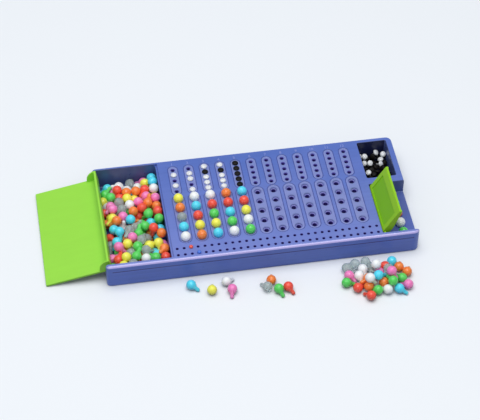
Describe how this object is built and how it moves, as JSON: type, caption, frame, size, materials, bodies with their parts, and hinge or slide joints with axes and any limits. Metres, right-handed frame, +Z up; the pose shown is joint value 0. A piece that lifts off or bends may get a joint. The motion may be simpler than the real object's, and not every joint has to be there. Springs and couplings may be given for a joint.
{
  "type": "code breaking peg game",
  "caption": "Tray-shaped code-guessing board with a lidded peg bin, columns of peg holes, a key-peg box, a flip-up code shield, and ball-headed pegs in the holes, in a heap and in a pile.",
  "frame": {"origin": "the centre of the tray's plan, on its underside (the foot of the rib across the underside)", "axes": "+X runs along the guesses from the peg bin to the secret code, -Y is the players' front with the score rows, +Z is up"},
  "size_m": [0.3104, 0.1684, 0.0427],
  "materials": {
    "tray_plastic": "injection-moulded plastic, satin gloss",
    "lid_plastic": "injection-moulded plastic, satin gloss",
    "shield_plastic": "injection-moulded plastic, satin gloss",
    "peg_white": "injection-moulded plastic, satin gloss",
    "peg_black": "injection-moulded plastic, satin gloss",
    "peg_yellow": "injection-moulded plastic, satin gloss",
    "peg_orange": "injection-moulded plastic, satin gloss",
    "peg_red": "injection-moulded plastic, satin gloss",
    "peg_green": "injection-moulded plastic, satin gloss",
    "peg_sky": "injection-moulded plastic, satin gloss",
    "peg_blue": "injection-moulded plastic, satin gloss",
    "peg_clear": "injection-moulded plastic, satin gloss",
    "peg_mixed": "injection-moulded plastic, satin gloss"
  },
  "bodies": {
    "tray": {"tray": "tray_plastic", "storage_peg_heap": "peg_mixed", "key_peg_heap": "peg_black", "table_peg_pile": "peg_mixed"},
    "storage_lid": {"storage_lid": "lid_plastic"},
    "code_shield": {"code_shield": "shield_plastic"},
    "code_peg_1_1": {"code_peg_1_1": "peg_yellow"},
    "code_peg_1_2": {"code_peg_1_2": "peg_orange"},
    "code_peg_1_3": {"code_peg_1_3": "peg_clear"},
    "code_peg_1_4": {"code_peg_1_4": "peg_sky"},
    "code_peg_1_5": {"code_peg_1_5": "peg_white"},
    "code_peg_2_1": {"code_peg_2_1": "peg_white"},
    "code_peg_2_2": {"code_peg_2_2": "peg_sky"},
    "code_peg_2_3": {"code_peg_2_3": "peg_red"},
    "code_peg_2_4": {"code_peg_2_4": "peg_yellow"},
    "code_peg_2_5": {"code_peg_2_5": "peg_orange"},
    "code_peg_3_1": {"code_peg_3_1": "peg_white"},
    "code_peg_3_2": {"code_peg_3_2": "peg_red"},
    "code_peg_3_3": {"code_peg_3_3": "peg_green"},
    "code_peg_3_4": {"code_peg_3_4": "peg_yellow"},
    "code_peg_3_5": {"code_peg_3_5": "peg_sky"},
    "code_peg_4_1": {"code_peg_4_1": "peg_orange"},
    "code_peg_4_2": {"code_peg_4_2": "peg_red"},
    "code_peg_4_3": {"code_peg_4_3": "peg_sky"},
    "code_peg_4_4": {"code_peg_4_4": "peg_green"},
    "code_peg_4_5": {"code_peg_4_5": "peg_white"},
    "code_peg_5_1": {"code_peg_5_1": "peg_sky"},
    "code_peg_5_2": {"code_peg_5_2": "peg_red"},
    "code_peg_5_3": {"code_peg_5_3": "peg_yellow"},
    "code_peg_5_4": {"code_peg_5_4": "peg_white"},
    "code_peg_5_5": {"code_peg_5_5": "peg_green"},
    "secret_peg_1": {"secret_peg_1": "peg_green"},
    "secret_peg_2": {"secret_peg_2": "peg_white"},
    "secret_peg_3": {"secret_peg_3": "peg_orange"},
    "secret_peg_4": {"secret_peg_4": "peg_sky"},
    "secret_peg_5": {"secret_peg_5": "peg_yellow"},
    "key_peg_1_2": {"key_peg_1_2": "peg_white"},
    "key_peg_1_4": {"key_peg_1_4": "peg_white"},
    "key_peg_2_2": {"key_peg_2_2": "peg_white"},
    "key_peg_2_3": {"key_peg_2_3": "peg_white"},
    "key_peg_2_5": {"key_peg_2_5": "peg_white"},
    "key_peg_3_1": {"key_peg_3_1": "peg_white"},
    "key_peg_3_2": {"key_peg_3_2": "peg_black"},
    "key_peg_3_3": {"key_peg_3_3": "peg_white"},
    "key_peg_3_4": {"key_peg_3_4": "peg_white"},
    "key_peg_3_5": {"key_peg_3_5": "peg_white"},
    "key_peg_4_1": {"key_peg_4_1": "peg_white"},
    "key_peg_4_2": {"key_peg_4_2": "peg_black"},
    "key_peg_4_3": {"key_peg_4_3": "peg_white"},
    "key_peg_4_4": {"key_peg_4_4": "peg_white"},
    "key_peg_4_5": {"key_peg_4_5": "peg_white"},
    "key_peg_5_1": {"key_peg_5_1": "peg_black"},
    "key_peg_5_2": {"key_peg_5_2": "peg_black"},
    "key_peg_5_3": {"key_peg_5_3": "peg_black"},
    "key_peg_5_4": {"key_peg_5_4": "peg_black"},
    "key_peg_5_5": {"key_peg_5_5": "peg_black"},
    "score_peg_1": {"score_peg_1": "peg_red"},
    "score_peg_2": {"score_peg_2": "peg_blue"}
  },
  "joints": [
    {"name": "storage_lid_hinge", "type": "hinge", "parent": "tray", "child": "storage_lid", "pos_m": [-0.1283, 0, 0.0165], "axis": [0, 1, 0], "range_deg": [0, 191.75]},
    {"name": "code_shield_hinge", "type": "hinge", "parent": "tray", "child": "code_shield", "pos_m": [0.1019, 0, 0.0201], "axis": [0, -1, 0], "range_deg": [-60, 32]},
    {"name": "code_peg_1_1_pull", "type": "slide", "parent": "tray", "child": "code_peg_1_1", "axis": [0, 0, 1], "range_m": [0, 0.01]},
    {"name": "code_peg_1_2_pull", "type": "slide", "parent": "tray", "child": "code_peg_1_2", "axis": [0, 0, 1], "range_m": [0, 0.01]},
    {"name": "code_peg_1_3_pull", "type": "slide", "parent": "tray", "child": "code_peg_1_3", "axis": [0, 0, 1], "range_m": [0, 0.01]},
    {"name": "code_peg_1_4_pull", "type": "slide", "parent": "tray", "child": "code_peg_1_4", "axis": [0, 0, 1], "range_m": [0, 0.01]},
    {"name": "code_peg_1_5_pull", "type": "slide", "parent": "tray", "child": "code_peg_1_5", "axis": [0, 0, 1], "range_m": [0, 0.01]},
    {"name": "code_peg_2_1_pull", "type": "slide", "parent": "tray", "child": "code_peg_2_1", "axis": [0, 0, 1], "range_m": [0, 0.01]},
    {"name": "code_peg_2_2_pull", "type": "slide", "parent": "tray", "child": "code_peg_2_2", "axis": [0, 0, 1], "range_m": [0, 0.01]},
    {"name": "code_peg_2_3_pull", "type": "slide", "parent": "tray", "child": "code_peg_2_3", "axis": [0, 0, 1], "range_m": [0, 0.01]},
    {"name": "code_peg_2_4_pull", "type": "slide", "parent": "tray", "child": "code_peg_2_4", "axis": [0, 0, 1], "range_m": [0, 0.01]},
    {"name": "code_peg_2_5_pull", "type": "slide", "parent": "tray", "child": "code_peg_2_5", "axis": [0, 0, 1], "range_m": [0, 0.01]},
    {"name": "code_peg_3_1_pull", "type": "slide", "parent": "tray", "child": "code_peg_3_1", "axis": [0, 0, 1], "range_m": [0, 0.01]},
    {"name": "code_peg_3_2_pull", "type": "slide", "parent": "tray", "child": "code_peg_3_2", "axis": [0, 0, 1], "range_m": [0, 0.01]},
    {"name": "code_peg_3_3_pull", "type": "slide", "parent": "tray", "child": "code_peg_3_3", "axis": [0, 0, 1], "range_m": [0, 0.01]},
    {"name": "code_peg_3_4_pull", "type": "slide", "parent": "tray", "child": "code_peg_3_4", "axis": [0, 0, 1], "range_m": [0, 0.01]},
    {"name": "code_peg_3_5_pull", "type": "slide", "parent": "tray", "child": "code_peg_3_5", "axis": [0, 0, 1], "range_m": [0, 0.01]},
    {"name": "code_peg_4_1_pull", "type": "slide", "parent": "tray", "child": "code_peg_4_1", "axis": [0, 0, 1], "range_m": [0, 0.01]},
    {"name": "code_peg_4_2_pull", "type": "slide", "parent": "tray", "child": "code_peg_4_2", "axis": [0, 0, 1], "range_m": [0, 0.01]},
    {"name": "code_peg_4_3_pull", "type": "slide", "parent": "tray", "child": "code_peg_4_3", "axis": [0, 0, 1], "range_m": [0, 0.01]},
    {"name": "code_peg_4_4_pull", "type": "slide", "parent": "tray", "child": "code_peg_4_4", "axis": [0, 0, 1], "range_m": [0, 0.01]},
    {"name": "code_peg_4_5_pull", "type": "slide", "parent": "tray", "child": "code_peg_4_5", "axis": [0, 0, 1], "range_m": [0, 0.01]},
    {"name": "code_peg_5_1_pull", "type": "slide", "parent": "tray", "child": "code_peg_5_1", "axis": [0, 0, 1], "range_m": [0, 0.01]},
    {"name": "code_peg_5_2_pull", "type": "slide", "parent": "tray", "child": "code_peg_5_2", "axis": [0, 0, 1], "range_m": [0, 0.01]},
    {"name": "code_peg_5_3_pull", "type": "slide", "parent": "tray", "child": "code_peg_5_3", "axis": [0, 0, 1], "range_m": [0, 0.01]},
    {"name": "code_peg_5_4_pull", "type": "slide", "parent": "tray", "child": "code_peg_5_4", "axis": [0, 0, 1], "range_m": [0, 0.01]},
    {"name": "code_peg_5_5_pull", "type": "slide", "parent": "tray", "child": "code_peg_5_5", "axis": [0, 0, 1], "range_m": [0, 0.01]},
    {"name": "secret_peg_1_pull", "type": "slide", "parent": "tray", "child": "secret_peg_1", "axis": [0, 0, 1], "range_m": [0, 0.01]},
    {"name": "secret_peg_2_pull", "type": "slide", "parent": "tray", "child": "secret_peg_2", "axis": [0, 0, 1], "range_m": [0, 0.01]},
    {"name": "secret_peg_3_pull", "type": "slide", "parent": "tray", "child": "secret_peg_3", "axis": [0, 0, 1], "range_m": [0, 0.01]},
    {"name": "secret_peg_4_pull", "type": "slide", "parent": "tray", "child": "secret_peg_4", "axis": [0, 0, 1], "range_m": [0, 0.01]},
    {"name": "secret_peg_5_pull", "type": "slide", "parent": "tray", "child": "secret_peg_5", "axis": [0, 0, 1], "range_m": [0, 0.01]},
    {"name": "key_peg_1_2_pull", "type": "slide", "parent": "tray", "child": "key_peg_1_2", "axis": [0, 0, 1], "range_m": [0, 0.008]},
    {"name": "key_peg_1_4_pull", "type": "slide", "parent": "tray", "child": "key_peg_1_4", "axis": [0, 0, 1], "range_m": [0, 0.008]},
    {"name": "key_peg_2_2_pull", "type": "slide", "parent": "tray", "child": "key_peg_2_2", "axis": [0, 0, 1], "range_m": [0, 0.008]},
    {"name": "key_peg_2_3_pull", "type": "slide", "parent": "tray", "child": "key_peg_2_3", "axis": [0, 0, 1], "range_m": [0, 0.008]},
    {"name": "key_peg_2_5_pull", "type": "slide", "parent": "tray", "child": "key_peg_2_5", "axis": [0, 0, 1], "range_m": [0, 0.008]},
    {"name": "key_peg_3_1_pull", "type": "slide", "parent": "tray", "child": "key_peg_3_1", "axis": [0, 0, 1], "range_m": [0, 0.008]},
    {"name": "key_peg_3_2_pull", "type": "slide", "parent": "tray", "child": "key_peg_3_2", "axis": [0, 0, 1], "range_m": [0, 0.008]},
    {"name": "key_peg_3_3_pull", "type": "slide", "parent": "tray", "child": "key_peg_3_3", "axis": [0, 0, 1], "range_m": [0, 0.008]},
    {"name": "key_peg_3_4_pull", "type": "slide", "parent": "tray", "child": "key_peg_3_4", "axis": [0, 0, 1], "range_m": [0, 0.008]},
    {"name": "key_peg_3_5_pull", "type": "slide", "parent": "tray", "child": "key_peg_3_5", "axis": [0, 0, 1], "range_m": [0, 0.008]},
    {"name": "key_peg_4_1_pull", "type": "slide", "parent": "tray", "child": "key_peg_4_1", "axis": [0, 0, 1], "range_m": [0, 0.008]},
    {"name": "key_peg_4_2_pull", "type": "slide", "parent": "tray", "child": "key_peg_4_2", "axis": [0, 0, 1], "range_m": [0, 0.008]},
    {"name": "key_peg_4_3_pull", "type": "slide", "parent": "tray", "child": "key_peg_4_3", "axis": [0, 0, 1], "range_m": [0, 0.008]},
    {"name": "key_peg_4_4_pull", "type": "slide", "parent": "tray", "child": "key_peg_4_4", "axis": [0, 0, 1], "range_m": [0, 0.008]},
    {"name": "key_peg_4_5_pull", "type": "slide", "parent": "tray", "child": "key_peg_4_5", "axis": [0, 0, 1], "range_m": [0, 0.008]},
    {"name": "key_peg_5_1_pull", "type": "slide", "parent": "tray", "child": "key_peg_5_1", "axis": [0, 0, 1], "range_m": [0, 0.008]},
    {"name": "key_peg_5_2_pull", "type": "slide", "parent": "tray", "child": "key_peg_5_2", "axis": [0, 0, 1], "range_m": [0, 0.008]},
    {"name": "key_peg_5_3_pull", "type": "slide", "parent": "tray", "child": "key_peg_5_3", "axis": [0, 0, 1], "range_m": [0, 0.008]},
    {"name": "key_peg_5_4_pull", "type": "slide", "parent": "tray", "child": "key_peg_5_4", "axis": [0, 0, 1], "range_m": [0, 0.008]},
    {"name": "key_peg_5_5_pull", "type": "slide", "parent": "tray", "child": "key_peg_5_5", "axis": [0, 0, 1], "range_m": [0, 0.008]},
    {"name": "score_peg_1_pull", "type": "slide", "parent": "tray", "child": "score_peg_1", "axis": [0, 0, 1], "range_m": [0, 0.008]},
    {"name": "score_peg_2_pull", "type": "slide", "parent": "tray", "child": "score_peg_2", "axis": [0, 0, 1], "range_m": [0, 0.008]}
  ]
}
